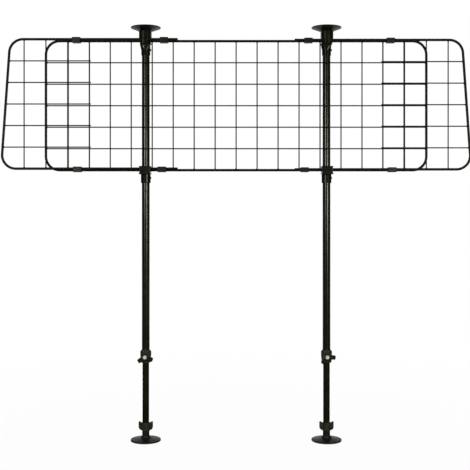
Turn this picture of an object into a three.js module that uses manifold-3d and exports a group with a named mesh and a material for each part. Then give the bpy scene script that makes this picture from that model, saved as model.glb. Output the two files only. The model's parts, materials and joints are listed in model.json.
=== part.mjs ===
// Car dog guard. A welded mesh panel is held by two telescopic posts that are wedged between the floor
// and the roof of a car. Two side panels slide in clips on its rods until they fill the car's width.
// Millimetres, +Z up, front towards -Y. The origin is on the floor, midway between the two feet.

import * as THREE from 'three';
import { mergeVertices } from 'three/addons/utils/BufferGeometryUtils.js';
import Module from 'manifold-3d';

const wasm = await Module();
wasm.setup();

// Fits
const gap = 0.3; // between pieces that seat on each other or turn in each other
const slideGap = 0.5; // round a rod that slides
const overrun = 3; // how far a cut runs past what it cuts
const weldDepth = 0.3; // how deep crossing wires sink into each other

// Rods and wires of the three welded panels
const rod = 5.5;
const wire = 2;
const bendRadius = 33; // of the rods' corners, at their centre line
const rodTipChamfer = 1;

// Centre panel
const frameWidth = 921.6; // between the centre lines of its upright rods
const frameHeight = 312.6; // between the centre lines of its top and bottom rods
const frameLift = 659; // from the floor to the centre line of its bottom rod
const wirePitch = 50.8;

// Side panels, as distances from the middle of the guard
const sideReachTop = 546; // outer rod, where it would meet the top rod without a bend
const sideReachBottom = 568;
const sideInnerWire = 354;
const sideProngEnd = 141;
const sidePitch = 52.6;
const sideLift = { left: 3.4, right: 1.7 }; // how much higher each sits than the centre panel

// Clips that tie the side panels' rods to the centre panel's rods
const clipLength = 22;
const clipWall = 2.9;
const clipWeb = 1.5; // between the two rods
const clipChamfer = 1.6;
const clipBayShares = {
  left: { top: { inner: 0.43, outer: 0.6 }, bottom: { inner: 0.54, outer: 0.55 } },
  right: { top: { inner: 0.44, outer: 0.35 }, bottom: { inner: 0.26, outer: 0.42 } },
};

// Posts. Each stands in the bay beyond the fourth wire from the middle
const postBay = 4;
const postBayShare = 0.34;
const tubeOuter = 19;
const tubeWall = 1.2;
const tubeSeat = 4; // of the upper tube, inside the head's collar
const legWall = 1;
const legLength = 435;
const legShown = 148; // of the lower tube below the upper tube

// Top head: collar, hook over the rods and socket for the tube
const headWidth = 33.2;
const headWall = 3;
const headSkirt = 5.6; // from the top rod's centre line down to the hook's lip
const headCollarWidth = 29.6;
const headCollarHeight = 14.8;
const headSocket = 26.5;
const headSocketWall = 1.2;
const headFlare = 9;
const headFlareTop = 24; // width of the socket where the flare begins
const fittingCorner = 3; // of the square fronts of the head and the bracket
const spigotWidth = 14;
const spigotHeight = 6;
const headScrewRise = 13; // above the socket's lower end

// Top pad
const padWidth = 71;
const padRim = 3;
const padNeck = 27.6;
const padCone = 9.2;
const padEdge = 0.8;

// Lower bracket: split sleeve on the tube, with a channel for the bottom rods
const bracketWidth = 29.2;
const bracketWall = 2.45;
const bracketBelow = 10; // from the bottom rod's centre line down to the sleeve
const bracketSleeve = 21;
const bracketChamfer = 1.6;
const bracketLip = 3;
const bracketSquare = 3; // how far the square front runs behind the tube's axis
const bracketSlit = 2;
const bracketGroove = 0.9;
const bracketGrooveOffset = 4;
const bracketScrewRise = 12.5;
const earWidth = 17;
const earHeight = 15;
const boltRise = 1.8; // of the bracket bolt above the bottom rod's centre line

// Bracket bolt and its wing nut
const bolt = 5;
const boltHead = 9;
const boltHeadHeight = 3.5;
const boltProud = 1.5;
const wingSpan = 20.5;
const wingHeight = 8.2;
const wingThickness = 2.6;
const wingHub = 9.6;
const wingHubHeight = 5;
const wingHubTopShare = 0.8; // of the hub's width, at its top
const wingTip = 3.4;

// Small screws through the fittings into the tube
const screw = 3;
const screwHead = 6;
const screwHeadHeight = 2;
const screwSink = 0.7; // of the flat seat under a screw's head

// Joint collar at the foot of the upper tube, with the clamp for the lower tube
const jointTop = 14.7; // above the clamp's axis
const jointBottom = 12.1; // from the clamp's axis down to the end of the upper tube
const jointWidth = 27;
const jointFoot = 24;
const jointFlange = 3.2;
const jointShoulder = 3.5;
const jointBand = 5;
const jointWall = 0.8; // of the collar's top edge
const bossRadius = 9;
const bossPeak = 20.2; // above the clamp's axis
const bossReach = 17; // in front of the tube's axis
const bossSlope = 5; // where the boss begins to lean back, above the clamp's axis

// Clamp: stud, nut held in the boss, handle and the bright nut in the handle
const clampStud = 6;
const clampNut = 10; // across flats
const clampNutHeight = 3.3;
const handleHub = 17;
const handleHeight = 7;
const handleWing = 20; // from the axis to a wing's end
const handleWingRoot = 10.4;
const handleWingTip = 8.4;
const handleWingThickness = 5;
const handleWingRise = 1.2;
const handleCorner = 1.6;
const handleSpread = 126; // degrees between the wings
const handleTurn = { left: -83.5, right: -65.5 }; // degrees, of the middle line between the wings
const coreHeight = 5.2;
const coreFloor = 3.2; // of the handle below the bright nut
const coreChamfer = 0.7;
const studProud = 1;

// Foot: rubber pad, stud, jack wing nut and the plug in the lower tube
const footWidth = 73.4;
const footEdge = 1;
const footRim = 3.8;
const footRise = 3.7; // of the shallow cone from the rim to the neck
const footCone = 4.6; // of the steep cone under the neck
const footNeck = 17.4;
const footHeight = 24.3;
const footFloor = 4; // of rubber under the stud's head
const footStud = 8;
const footStudLength = 82;
const footStudHead = 13;
const footStudHeadHeight = 3;
const jackHub = 18.6;
const jackHubHeight = 20;
const jackSpan = 34.8;
const jackHorn = 2.2; // how far the wings rise above the hub
const jackThickness = 5;
const jackNut = 13; // across flats
const jackNutHeight = 6.5;
const plugFlange = 1.5;
const plugLength = 15;
const plugWall = 2.2;

// Fineness of round forms
const wireSides = 6;
const rodSides = 8;
const bendSteps = 5;
const smallSides = 8;
const roundSides = 18;
const padSides = 30;
const curveSteps = 3; // an arc has twice as many
const cornerSteps = 2;

// Sizes worked out from those above
const degree = Math.PI / 180;
const legOuter = tubeOuter - 2 * (tubeWall + gap);
const bracketOuter = tubeOuter + 2 * (gap + bracketWall);
const rodSlot = rod / 2 + slideGap; // half the width of a channel that a rod slides in
const centrePlane = -(bracketOuter / 2 + rodSlot);
const sidePlane = centrePlane - rod - clipWeb;
const channelBack = centrePlane + rodSlot;
const channelFront = sidePlane - rodSlot;
const topRod = frameLift + frameHeight;
const postX = (postBay + postBayShare) * wirePitch;
const wireFlat = (wire / 2) * Math.cos(Math.PI / wireSides);
const wireLayer = wireFlat - weldDepth / 2; // each layer of wires lies this far from the rods' plane
const wiresEachSide = Math.floor((frameWidth / 2 - bendRadius) / wirePitch);

const jackBottom = footHeight + gap;
const plugBottom = jackBottom + jackHubHeight + gap;
const legBottom = plugBottom + plugFlange + gap;
const tubeBottom = legBottom + legShown;
const clampHeight = tubeBottom + jointBottom;
const highestLift = Math.max(sideLift.left, sideLift.right);
const headBlockTop = topRod + highestLift + rodSlot + headWall;
const headTop = headBlockTop + headCollarHeight;
const headBottom = topRod - headSkirt - headSocket;
const headSocketWidth = tubeOuter + 2 * (gap + headSocketWall);
const headFlareShare = headScrewRise / (headSocket - headFlare); // of the way up to the flare
const headScrewSeat =
  (headSocketWidth + (headFlareTop - headSocketWidth) * headFlareShare) / 2 - screwSink;
const bracketScrewSeat = bracketOuter / 2 - screwSink;
const tubeTop = headBlockTop + tubeSeat;
const padBottom = headTop + gap;
const bracketTop = frameLift + highestLift + rodSlot + bracketLip;
const bracketBlockBottom = frameLift - bracketBelow;
const bracketBottom = bracketBlockBottom - bracketSleeve;
const boltHeight = frameLift + boltRise;
const boltBack = Math.sqrt((bracketOuter / 2) ** 2 - (earWidth / 2) ** 2) + wingSpan / 2 + slideGap;

// Materials

const paint = new THREE.MeshStandardMaterial({ color: 0x1b1b19, roughness: 0.35, metalness: 0.1 });
const plastic = new THREE.MeshStandardMaterial({ color: 0x1d1c18, roughness: 0.5, metalness: 0 });
const rubber = new THREE.MeshStandardMaterial({ color: 0x242423, roughness: 0.65, metalness: 0 });
const zinc = new THREE.MeshStandardMaterial({ color: 0xb9bab2, roughness: 0.3, metalness: 0.9 });
const steel = new THREE.MeshStandardMaterial({ color: 0x8d8f90, roughness: 0.35, metalness: 0.9 });

// Solids from three.js geometry

function signedVolume(positions, indices) {
  const [a, b, c] = [new THREE.Vector3(), new THREE.Vector3(), new THREE.Vector3()];
  let volume = 0;
  for (let i = 0; i < indices.length; i += 3) {
    a.fromArray(positions, 3 * indices[i]);
    b.fromArray(positions, 3 * indices[i + 1]);
    c.fromArray(positions, 3 * indices[i + 2]);
    volume += a.dot(b.cross(c));
  }
  return volume;
}

// A closed geometry as a solid, with its faces turned outwards.
function solid(geometry) {
  geometry.deleteAttribute('normal');
  geometry.deleteAttribute('uv');
  const merged = mergeVertices(geometry);
  const positions = merged.attributes.position.array;
  const kept = [];
  for (let i = 0; i < merged.index.count; i += 3) {
    const [a, b, c] = [merged.index.getX(i), merged.index.getX(i + 1), merged.index.getX(i + 2)];
    if (a !== b && b !== c && c !== a) kept.push(a, b, c);
  }
  if (signedVolume(positions, kept) < 0) kept.reverse();
  return new wasm.Manifold(
    new wasm.Mesh({ numProp: 3, vertProperties: positions, triVerts: new Uint32Array(kept) }),
  );
}

function join(...solids) {
  return wasm.Manifold.union(solids);
}

// A round form about Z from [radius, height] pairs that start and end on the axis, or close.
function revolve(profile, sides = roundSides) {
  const points = profile.map(([radius, height]) => new THREE.Vector2(radius, height));
  return solid(new THREE.LatheGeometry(points, sides).rotateX(Math.PI / 2));
}

function cylinder(width, from, to, sides = roundSides) {
  return revolve([[0, from], [width / 2, from], [width / 2, to], [0, to]], sides);
}

function pipe(outer, inner, from, to) {
  const [r, s] = [outer / 2, inner / 2];
  return revolve([[s, from], [r, from], [r, to], [s, to], [s, from]]);
}

// A hexagonal prism about Z, given across its flats.
function hexagon(flats, from, to) {
  return cylinder(flats / Math.cos(Math.PI / 6), from, to, 6);
}

const planes = {
  x: new THREE.Matrix4().set(0, 0, 1, 0, 1, 0, 0, 0, 0, 1, 0, 0, 0, 0, 0, 1), // drawn in Y and Z
  y: new THREE.Matrix4().set(1, 0, 0, 0, 0, 0, 1, 0, 0, 1, 0, 0, 0, 0, 0, 1), // drawn in X and Z
  z: new THREE.Matrix4(), // drawn in X and Y
};

// An outline that has its thickness along one axis.
function plate(shape, axis, from, to, curveSegments = curveSteps) {
  const settings = { depth: to - from, bevelEnabled: false, curveSegments };
  const geometry = new THREE.ExtrudeGeometry(shape, settings).translate(0, 0, from);
  return solid(geometry.applyMatrix4(planes[axis]));
}

function outline(points) {
  return new THREE.Shape(points.map(([u, v]) => new THREE.Vector2(u, v)));
}

function block(x0, x1, y0, y1, z0, z1) {
  return plate(outline([[x0, y0], [x1, y0], [x1, y1], [x0, y1]]), 'z', z0, z1);
}

function piece(name, form, material) {
  const { vertProperties, triVerts } = form.getMesh();
  const geometry = new THREE.BufferGeometry();
  geometry.setAttribute('position', new THREE.BufferAttribute(vertProperties, 3));
  geometry.setIndex(new THREE.BufferAttribute(triVerts, 1));
  geometry.computeVertexNormals();
  const mesh = new THREE.Mesh(geometry, material);
  mesh.name = name;
  return mesh;
}

// Welded panels

// The corners of a bent rod, with each bend drawn as an arc.
function bentPath(corners, closed) {
  const count = corners.length;
  const points = [];
  corners.forEach((corner, i) => {
    if (!closed && (i === 0 || i === count - 1)) {
      points.push(corner);
      return;
    }
    const back = corners[(i + count - 1) % count].clone().sub(corner).normalize();
    const ahead = corners[(i + 1) % count].clone().sub(corner).normalize();
    const half = Math.acos(back.dot(ahead)) / 2;
    const centre = back.clone().add(ahead).setLength(bendRadius / Math.sin(half)).add(corner);
    const start = back.clone().multiplyScalar(bendRadius / Math.tan(half)).add(corner);
    const turn = -Math.sign(back.cross(ahead)) * (Math.PI - 2 * half);
    for (let step = 0; step <= bendSteps; step += 1) {
      points.push(start.clone().rotateAround(centre, (turn * step) / bendSteps));
    }
  });
  return points;
}

// A round rod along a path in the XZ plane at the depth y. An open rod has chamfered tips.
function roundRod(path, closed, y) {
  const rings = path.map((point) => ({ point, radius: rod / 2 }));
  if (!closed) {
    for (const [end, next] of [[0, 1], [path.length - 1, path.length - 2]]) {
      const inset = path[next].clone().sub(path[end]).setLength(rodTipChamfer).add(path[end]);
      rings[end].radius -= rodTipChamfer;
      rings.splice(end === 0 ? 1 : rings.length - 1, 0, { point: inset, radius: rod / 2 });
    }
  }
  const count = rings.length;
  const positions = [];
  rings.forEach(({ point, radius }, i) => {
    const before = rings[closed ? (i + count - 1) % count : Math.max(i - 1, 0)].point;
    const after = rings[closed ? (i + 1) % count : Math.min(i + 1, count - 1)].point;
    const arriving = point.clone().sub(before).normalize();
    const leaving = after.clone().sub(point).normalize();
    const along = arriving.add(leaving).normalize();
    for (let side = 0; side < rodSides; side += 1) {
      const angle = (2 * Math.PI * side) / rodSides;
      const out = radius * Math.cos(angle);
      positions.push(point.x - along.y * out, y + radius * Math.sin(angle), point.y + along.x * out);
    }
  });
  const indices = [];
  for (let i = 0; i < (closed ? count : count - 1); i += 1) {
    for (let side = 0; side < rodSides; side += 1) {
      const [a, b] = [i * rodSides + side, i * rodSides + ((side + 1) % rodSides)];
      const [c, d] = [a, b].map((vertex) => (vertex + rodSides) % (count * rodSides));
      indices.push(a, b, c, b, d, c);
    }
  }
  if (!closed) {
    const last = (count - 1) * rodSides;
    for (let side = 1; side < rodSides - 1; side += 1) {
      indices.push(0, side + 1, side, last, last + side, last + side + 1);
    }
  }
  const geometry = new THREE.BufferGeometry();
  geometry.setAttribute('position', new THREE.Float32BufferAttribute(positions, 3));
  geometry.setIndex(indices);
  return solid(geometry);
}

// Upright wires lie just in front of the rods' plane and level wires just behind it. A flat side of
// each faces the other layer, so that they meet in a small weld.
function uprightWire(x, plane, from, to) {
  const bar = new THREE.CylinderGeometry(wire / 2, wire / 2, to - from, wireSides);
  bar.rotateY(Math.PI / wireSides).rotateX(Math.PI / 2);
  return solid(bar.translate(x, plane - wireLayer, (from + to) / 2));
}

function levelWire(z, plane, from, to) {
  const bar = new THREE.CylinderGeometry(wire / 2, wire / 2, to - from, wireSides);
  bar.rotateZ(Math.PI / 2);
  return solid(bar.translate((from + to) / 2, plane + wireLayer, z));
}

const levelGaps = Math.round(frameHeight / wirePitch);

// Heights of the level wires above a panel's bottom rod.
function levels() {
  return Array.from({ length: levelGaps - 1 }, (_, i) => ((i + 1) * frameHeight) / levelGaps);
}

function centrePanel() {
  const half = frameWidth / 2;
  const corners = [[-half, frameLift], [half, frameLift], [half, topRod], [-half, topRod]];
  const path = bentPath(corners.map(([x, z]) => new THREE.Vector2(x, z)), true);
  const parts = [roundRod(path, true, centrePlane)];
  for (let i = -wiresEachSide; i <= wiresEachSide; i += 1) {
    parts.push(uprightWire(i * wirePitch, centrePlane, frameLift, topRod));
  }
  for (const rise of levels()) {
    parts.push(levelWire(frameLift + rise, centrePlane, -half, half));
  }
  return join(...parts);
}

// The left panel is the right one turned over. Its outer rod leans out towards the floor.
function sidePanel(outward, lift) {
  const [bottom, top] = [frameLift + lift, topRod + lift];
  const corners = [
    [sideProngEnd, bottom],
    [sideReachBottom, bottom],
    [sideReachTop, top],
    [sideProngEnd, top],
  ];
  const path = bentPath(corners.map(([x, z]) => new THREE.Vector2(outward * x, z)), false);
  const parts = [roundRod(path, false, sidePlane)];
  const reach = Math.min(sideReachTop, sideReachBottom) - bendRadius;
  for (let x = sideInnerWire; x <= reach; x += sidePitch) {
    parts.push(uprightWire(outward * x, sidePlane, bottom, top));
  }
  for (const rise of levels()) {
    const outer = sideReachBottom + ((sideReachTop - sideReachBottom) * rise) / frameHeight;
    const ends = [outward * (sideInnerWire - wire), outward * outer];
    parts.push(levelWire(bottom + rise, sidePlane, Math.min(...ends), Math.max(...ends)));
  }
  return join(...parts);
}

// Rod clip: two C-shaped seats side by side, open towards the mesh so that welded wires can pass.
// It is drawn for the top rods about the centre panel's rod, and turned over for the bottom rods.
function rodClip(lift, upsideDown) {
  const rise = upsideDown ? -lift : lift;
  const seat = (rod / 2 + gap) / Math.cos(Math.PI / smallSides);
  const edge = rod / 2 + gap + clipWall;
  const spacing = centrePlane - sidePlane;
  const [back, front] = [edge, -spacing - edge];
  const [top, bottom] = [Math.max(rise, 0) + edge, Math.min(rise, 0) - edge];
  const [u, v] = [clipWall / 2, clipLength / 2];
  const body = plate(
    outline([
      [front, bottom + u],
      [front + u, bottom],
      [back - u, bottom],
      [back, bottom + u],
      [back, top - u],
      [back - u, top],
      [front + u, top],
      [front, top - u],
    ]),
    'x', -v, v,
  );
  const bevelled = plate(
    outline([
      [-v, bottom + clipChamfer],
      [-v + clipChamfer, bottom],
      [v - clipChamfer, bottom],
      [v, bottom + clipChamfer],
      [v, top - clipChamfer],
      [v - clipChamfer, top],
      [-v + clipChamfer, top],
      [-v, top - clipChamfer],
    ]),
    'y', front - overrun, back + overrun,
  );
  const slot = wire / 2 + slideGap;
  const cuts = [[0, 0], [-spacing, rise]].map(([y, z]) => {
    const round = plate(new THREE.Shape().absarc(y, z, seat, 0, 2 * Math.PI), 'x',
      -v - overrun, v + overrun, smallSides / 2);
    const middle = y - wireLayer;
    return round.add(
      block(-v - overrun, v + overrun, middle - slot, middle + slot, bottom - overrun, z),
    );
  });
  const clip = body.intersect(bevelled).subtract(join(...cuts));
  return upsideDown ? clip.mirror([0, 0, 1]) : clip;
}

// Fittings on the posts

// A slot with a round end about a rod, open as far as the height mouth.
function rodSlotShape(y, z, mouth) {
  const shape = new THREE.Shape();
  shape.absarc(y, z, rodSlot, 0, Math.PI, mouth > z);
  shape.lineTo(y - rodSlot, mouth);
  shape.lineTo(y + rodSlot, mouth);
  shape.closePath();
  return shape;
}

// The channel for both rods, across a fitting of the given width.
function rodChannel(rodHeight, lift, mouth, width) {
  const reach = width / 2 + overrun;
  const open = mouth > rodHeight;
  const inner = open ? Math.max(rodHeight, rodHeight + lift) : Math.min(rodHeight, rodHeight + lift);
  return join(
    plate(rodSlotShape(centrePlane, rodHeight, mouth), 'x', -reach, reach),
    plate(rodSlotShape(sidePlane, rodHeight + lift, mouth), 'x', -reach, reach),
    block(-reach, reach, sidePlane, centrePlane, Math.min(inner, mouth), Math.max(inner, mouth)),
  );
}

// The part of a fitting in front of the tube, with rounded front corners.
function frontBlock(width, front, back, from, to) {
  const half = width / 2;
  const shape = new THREE.Shape();
  shape.moveTo(half, back);
  shape.lineTo(-half, back);
  shape.absarc(-half + fittingCorner, front + fittingCorner, fittingCorner, Math.PI, 1.5 * Math.PI);
  shape.absarc(half - fittingCorner, front + fittingCorner, fittingCorner, 1.5 * Math.PI, 2 * Math.PI);
  shape.closePath();
  return plate(shape, 'z', from, to, cornerSteps);
}

function topHead(lift) {
  const lip = channelFront - headWall;
  const skirt = topRod - headSkirt;
  const wide = headWidth / 2;
  const flareEnd = skirt - headFlare;
  const socket = revolve([
    [0, headBottom],
    [headSocketWidth / 2, headBottom],
    [headFlareTop / 2, flareEnd],
    [wide, skirt],
    [0, skirt],
  ]);
  const body = join(
    socket,
    frontBlock(headWidth, lip, 0, skirt, headBlockTop),
    cylinder(headWidth, skirt, headBlockTop),
    frontBlock(headCollarWidth, lip + headWall / 2, 0, topRod, headTop),
    cylinder(headCollarWidth, topRod, headTop),
    cylinder(spigotWidth, topRod, headTop + spigotHeight),
  );
  const cuts = join(
    rodChannel(topRod, lift, skirt - overrun, headWidth),
    block(-wide - overrun, wide + overrun, lip - overrun, channelBack, headBottom - overrun, skirt),
    cylinder(tubeOuter + 2 * gap, headBottom - overrun, tubeTop + gap),
    seatedScrewHole(headBottom + headScrewRise, headScrewSeat),
  );
  return body.subtract(cuts);
}

// A screw's hole along +X through the wall of a fitting or tube.
function screwHole(height) {
  const hole = cylinder(screw + 2 * gap, 0, headWidth, smallSides).rotate([0, 90, 0]);
  return hole.translate([0, 0, height]);
}

// The same hole with a flat seat for the screw's head.
function seatedScrewHole(height, seat) {
  const flat = cylinder(screwHead + 2 * gap, seat, headWidth, smallSides).rotate([0, 90, 0]);
  return screwHole(height).add(flat.translate([0, 0, height]));
}

// Pan-head screw along Z, with the underside of its head at zero.
function panScrew(length) {
  const [r, h] = [screwHead / 2, screwHeadHeight];
  return revolve([
    [0, -length],
    [screw / 2, -length],
    [screw / 2, 0],
    [r, 0],
    [r, h / 2],
    [r / 2, h],
    [0, h],
  ], smallSides);
}

function topPad() {
  const rimBottom = padBottom + padCone;
  const rimTop = rimBottom + padRim;
  const pocket = cylinder(spigotWidth + 2 * gap, padBottom - overrun, headTop + spigotHeight + gap);
  return revolve([
    [0, padBottom],
    [padNeck / 2, padBottom],
    [padWidth / 2 - padEdge, rimBottom],
    [padWidth / 2, rimBottom + padEdge],
    [padWidth / 2, rimTop - padEdge],
    [padWidth / 2 - padEdge, rimTop],
    [0, rimTop],
  ], padSides).subtract(pocket);
}

function upperTube() {
  const clampHole = cylinder(clampStud + 2 * gap, 0, tubeOuter, smallSides);
  const cuts = join(
    screwHole(headBottom + headScrewRise),
    screwHole(bracketBottom + bracketScrewRise),
    clampHole.rotate([90, 0, 0]).translate([0, 0, clampHeight]),
  );
  return pipe(tubeOuter, tubeOuter - 2 * tubeWall, tubeBottom, tubeTop).subtract(cuts);
}

function lowerBracket(outward, lift) {
  const front = channelFront - bracketLip;
  const radius = bracketOuter / 2;
  const sleeve = revolve([
    [0, bracketBottom],
    [radius - bracketChamfer, bracketBottom],
    [radius, bracketBottom + bracketChamfer],
    [radius, bracketTop],
    [0, bracketTop],
  ]);
  const ear = new THREE.Shape();
  ear.absarc(boltBack, boltHeight, earHeight / 2, -Math.PI / 2, Math.PI / 2);
  ear.lineTo(0, boltHeight + earHeight / 2);
  ear.lineTo(0, boltHeight - earHeight / 2);
  ear.closePath();
  const body = join(
    sleeve,
    frontBlock(bracketWidth, front, bracketSquare, bracketBlockBottom, bracketTop),
    plate(ear, 'x', -earWidth / 2, earWidth / 2),
  );
  const groove = outward * bracketGrooveOffset;
  const boltHole = cylinder(bolt + 2 * gap, -earWidth, earWidth, smallSides).rotate([0, 90, 0]);
  const cuts = join(
    rodChannel(frameLift, lift, bracketTop + overrun, bracketWidth),
    cylinder(tubeOuter + 2 * gap, bracketBottom - overrun, bracketTop + overrun),
    block(-bracketSlit / 2, bracketSlit / 2, 0, boltBack + earHeight, bracketBottom - overrun,
      bracketTop + overrun),
    block(groove - bracketGroove / 2, groove + bracketGroove / 2, -radius - overrun,
      -radius * Math.cos(Math.asin(bracketGrooveOffset / radius)) + bracketGroove,
      bracketBottom - overrun, bracketBlockBottom),
    boltHole.translate([0, boltBack, boltHeight]),
    seatedScrewHole(bracketBottom + bracketScrewRise, bracketScrewSeat),
  );
  return body.subtract(cuts);
}

// Bracket bolt along Z, with the underside of its head at zero and its shank upwards.
function bracketBolt() {
  const shank = earWidth + 2 * gap + wingHubHeight + boltProud;
  const r = boltHead / 2;
  return revolve([
    [0, -boltHeadHeight],
    [r / 2, -boltHeadHeight],
    [r, -boltHeadHeight / 2],
    [r, 0],
    [bolt / 2, 0],
    [bolt / 2, shank],
    [0, shank],
  ], smallSides);
}

// Wing nut along Z with its foot at zero. The wings flare away from the foot.
function wingNut() {
  const [half, hub] = [wingSpan / 2, wingHub / 2];
  const wings = new THREE.Shape();
  wings.moveTo(-hub / 2, 0);
  wings.lineTo(hub / 2, 0);
  wings.quadraticCurveTo(half - wingTip / 2, wingHubHeight / 2, half, wingHeight - wingTip / 2);
  wings.lineTo(half - wingTip / 2, wingHeight);
  wings.lineTo(half - wingTip, wingHeight);
  wings.quadraticCurveTo(hub, wingHubHeight, hub / 2, wingHubHeight);
  wings.lineTo(-hub / 2, wingHubHeight);
  wings.quadraticCurveTo(-hub, wingHubHeight, wingTip - half, wingHeight);
  wings.lineTo(wingTip / 2 - half, wingHeight);
  wings.lineTo(-half, wingHeight - wingTip / 2);
  wings.quadraticCurveTo(wingTip / 2 - half, wingHubHeight / 2, -hub / 2, 0);
  const body = revolve([
    [0, 0],
    [hub, 0],
    [hub * wingHubTopShare, wingHubHeight],
    [0, wingHubHeight],
  ], smallSides);
  const bore = cylinder(bolt + 2 * gap, -overrun, wingHeight, smallSides);
  return body.add(plate(wings, 'y', -wingThickness / 2, wingThickness / 2)).subtract(bore);
}

// Joint collar, with a pear-shaped boss in front that leans back to the tube at its peak.
function jointCollar() {
  const bottom = tubeBottom - gap - jointFlange;
  const top = clampHeight + jointTop;
  const body = revolve([
    [0, bottom],
    [jointFoot / 2, bottom],
    [jointWidth / 2, top - jointShoulder - jointBand],
    [jointWidth / 2, top - jointShoulder],
    [tubeOuter / 2 + gap + jointWall, top],
    [0, top],
  ]);
  const lean = Math.acos(bossRadius / bossPeak);
  const peak = clampHeight + bossPeak;
  const pear = new THREE.Shape();
  pear.absarc(0, clampHeight, bossRadius, Math.PI / 2 + lean, 2.5 * Math.PI - lean);
  pear.lineTo(0, peak);
  pear.closePath();
  const side = outline([
    [0, clampHeight - bossRadius],
    [0, peak],
    [-tubeOuter / 2 - 2 * gap, peak],
    [-bossReach, clampHeight + bossSlope],
    [-bossReach, clampHeight - bossRadius],
  ]);
  const boss = plate(pear, 'y', -bossReach, 0, 2 * curveSteps)
    .intersect(plate(side, 'x', -jointWidth / 2, jointWidth / 2));
  const pocketEnd = tubeOuter / 2 + 2 * gap + clampNutHeight;
  const cuts = join(
    cylinder(tubeOuter + 2 * gap, tubeBottom - gap, peak + overrun),
    cylinder(legOuter + 2 * gap, bottom - overrun, tubeBottom),
    hexagon(clampNut + 2 * gap, 0, pocketEnd + gap).rotate([90, 0, 0]).translate([0, 0, clampHeight]),
    cylinder(clampStud + 2 * gap, 0, bossReach + overrun, smallSides)
      .rotate([90, 0, 0]).translate([0, 0, clampHeight]),
  );
  return body.add(boss).subtract(cuts);
}

// The clamp's pieces are drawn along Z from the tube's axis, and turned to face the front.

function clampNutBody() {
  const start = tubeOuter / 2 + 2 * gap;
  const bore = cylinder(clampStud + 2 * gap, 0, 2 * start, smallSides);
  return hexagon(clampNut, start, start + clampNutHeight).subtract(bore);
}

const handleFoot = bossReach + gap;
const coreFoot = handleFoot + coreFloor + gap;
const coreTop = coreFoot + coreHeight;

function clampStudBody() {
  return cylinder(clampStud, legOuter / 2 + gap, coreTop + studProud, smallSides);
}

function clampHandle() {
  const hub = cylinder(handleHub, handleFoot, handleFoot + handleHeight);
  const [root, tip] = [handleWingRoot / 2, handleWingTip / 2];
  const wing = new THREE.Shape();
  wing.moveTo(0, -root);
  wing.lineTo(handleWing - handleCorner, -tip);
  wing.absarc(handleWing - handleCorner, handleCorner - tip, handleCorner, -Math.PI / 2, 0);
  wing.absarc(handleWing - handleCorner, tip - handleCorner, handleCorner, 0, Math.PI / 2);
  wing.lineTo(0, root);
  wing.closePath();
  const start = handleFoot + handleWingRise;
  const wings = [-1, 1].map((side) => plate(wing, 'z', start, start + handleWingThickness, cornerSteps)
    .rotate([0, 0, (side * handleSpread) / 2]));
  const cuts = join(
    hexagon(clampNut + 2 * gap, coreFoot - gap, handleFoot + handleHeight + overrun),
    cylinder(clampStud + 2 * gap, handleFoot - overrun, coreTop, smallSides),
  );
  return join(hub, ...wings).subtract(cuts);
}

function handleCore() {
  const corner = clampNut / 2 / Math.cos(Math.PI / 6);
  const rounded = revolve([
    [0, coreFoot],
    [corner, coreFoot],
    [corner, coreTop - coreChamfer],
    [corner - 2 * coreChamfer, coreTop],
    [0, coreTop],
  ], smallSides);
  const bore = cylinder(clampStud + 2 * gap, coreFoot - overrun, coreTop + overrun, smallSides);
  return hexagon(clampNut, coreFoot, coreTop).intersect(rounded).subtract(bore);
}

// Foot of the post

function endPlug() {
  const seat = legOuter - 2 * (legWall + gap);
  const top = legBottom + plugLength;
  const bore = seat / 2 - plugWall;
  return revolve([
    [bore, plugBottom],
    [legOuter / 2, plugBottom],
    [legOuter / 2, plugBottom + plugFlange],
    [seat / 2, plugBottom + plugFlange],
    [seat / 2, top],
    [bore, top],
    [bore, plugBottom],
  ]);
}

function jackWingNut() {
  const [half, hub, top] = [jackSpan / 2, jackHub / 2, jackBottom + jackHubHeight];
  const inner = legOuter / 2 + 2 * gap;
  const horn = top + jackHorn;
  const wings = new THREE.Shape();
  wings.moveTo(-hub / 2, jackBottom);
  wings.lineTo(hub, jackBottom);
  wings.quadraticCurveTo(half, jackBottom + jackHubHeight / 4, half, jackBottom + jackHubHeight / 2);
  wings.lineTo(half, horn - jackHorn / 2);
  wings.lineTo(half - jackHorn / 2, horn);
  wings.lineTo(inner + jackHorn, top);
  wings.lineTo(-inner - jackHorn, top);
  wings.lineTo(jackHorn / 2 - half, horn);
  wings.lineTo(-half, horn - jackHorn / 2);
  wings.lineTo(-half, jackBottom + jackHubHeight / 2);
  wings.quadraticCurveTo(-half, jackBottom + jackHubHeight / 4, -hub, jackBottom);
  const cuts = join(
    cylinder(footStud + 2 * gap, jackBottom - overrun, horn + overrun),
    hexagon(jackNut + 2 * gap, jackBottom - overrun, jackBottom + jackNutHeight + 2 * gap),
  );
  return cylinder(jackHub, jackBottom, top)
    .add(plate(wings, 'y', -jackThickness / 2, jackThickness / 2))
    .subtract(cuts);
}

function jackNutBody() {
  const bore = cylinder(footStud + 2 * gap, jackBottom - overrun, plugBottom);
  return hexagon(jackNut, jackBottom + gap, jackBottom + gap + jackNutHeight).subtract(bore);
}

function footStudBody() {
  const [head, shank] = [footStudHead / 2, footStud / 2];
  return revolve([
    [0, footFloor],
    [head, footFloor],
    [head, footFloor + footStudHeadHeight],
    [shank, footFloor + footStudHeadHeight],
    [shank, footFloor + footStudLength],
    [0, footFloor + footStudLength],
  ]);
}

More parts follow.
